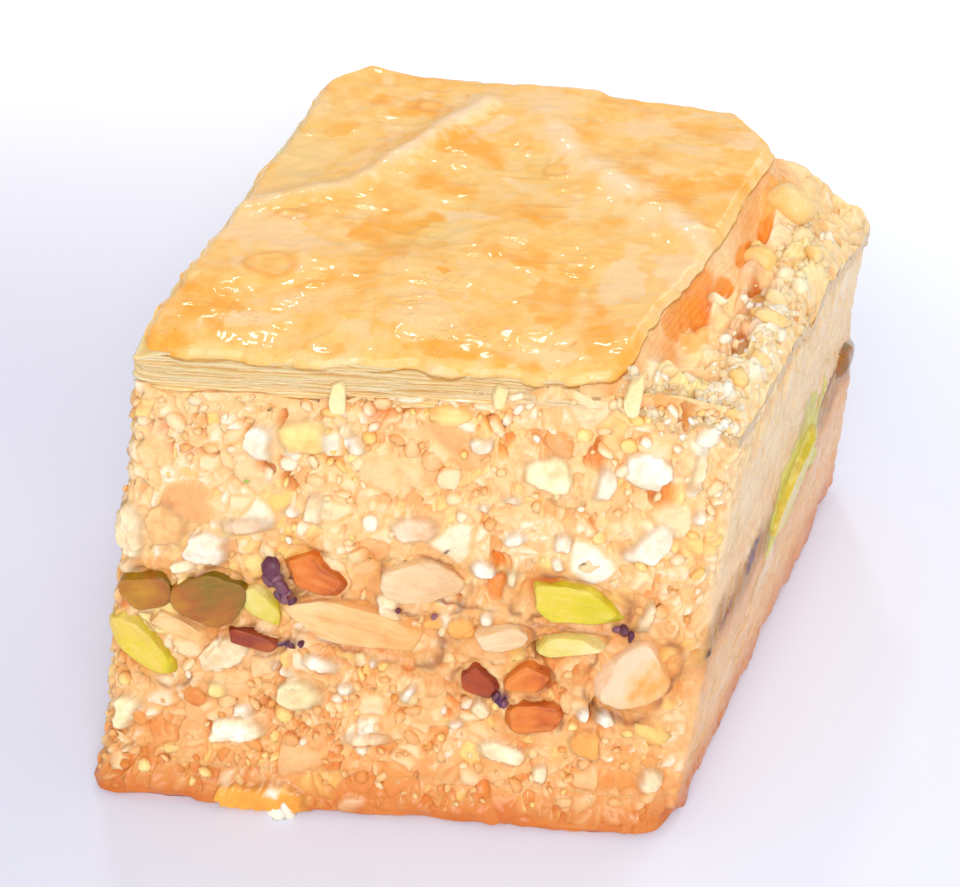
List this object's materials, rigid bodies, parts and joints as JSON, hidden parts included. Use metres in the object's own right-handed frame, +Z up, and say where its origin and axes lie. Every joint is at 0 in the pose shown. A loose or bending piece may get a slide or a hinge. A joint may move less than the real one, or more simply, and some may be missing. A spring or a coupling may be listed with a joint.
{
  "type": "baklava piece",
  "caption": "Hand-cut lozenge of baklava: baked base, beds of chopped nuts round a band of whole nuts, glazed pastry sheets on top.",
  "frame": {"origin": "middle of the base, on the surface that the piece stands on", "axes": "+Z up, +X along the front cut to the right, +Y from the front cut to the back"},
  "size_m": [0.0546, 0.046, 0.0382],
  "materials": {
    "bottom_crust": "satin",
    "lower_filling": "satin",
    "middle_filling": "satin",
    "upper_filling": "satin",
    "pastry": "gloss",
    "almond": "satin",
    "peanut": "satin",
    "cashew": "satin",
    "pistachio": "satin",
    "cut_pistachio": "satin",
    "olive_kernel": "gloss",
    "amber_kernel": "gloss",
    "dark_skin": "satin"
  },
  "bodies": {
    "root": {"bottom_crust": "bottom_crust", "lower_filling": "lower_filling", "middle_filling": "middle_filling", "upper_filling": "upper_filling", "pastry_top": "pastry", "almond_sliver": "almond", "peanut_half": "peanut", "pistachio_bright": "pistachio", "pistachio_low": "pistachio", "olive_wide": "olive_kernel", "olive_edge": "olive_kernel", "pistachio_tip": "cut_pistachio", "amber_wide": "amber_kernel", "almond_slice": "almond", "skin_chip": "amber_kernel", "cashew_slab": "cashew", "almond_wedge": "cashew", "pistachio_pale": "cut_pistachio", "amber_chip": "amber_kernel", "skin_dark": "dark_skin", "olive_low": "olive_kernel", "pistachio_side": "pistachio", "olive_side": "olive_kernel", "almond_side": "almond", "pistachio_back": "pistachio", "almond_back": "almond", "cashew_back": "cashew", "pistachio_left": "pistachio", "amber_left": "amber_kernel", "almond_left": "almond"}
  },
  "joints": []
}
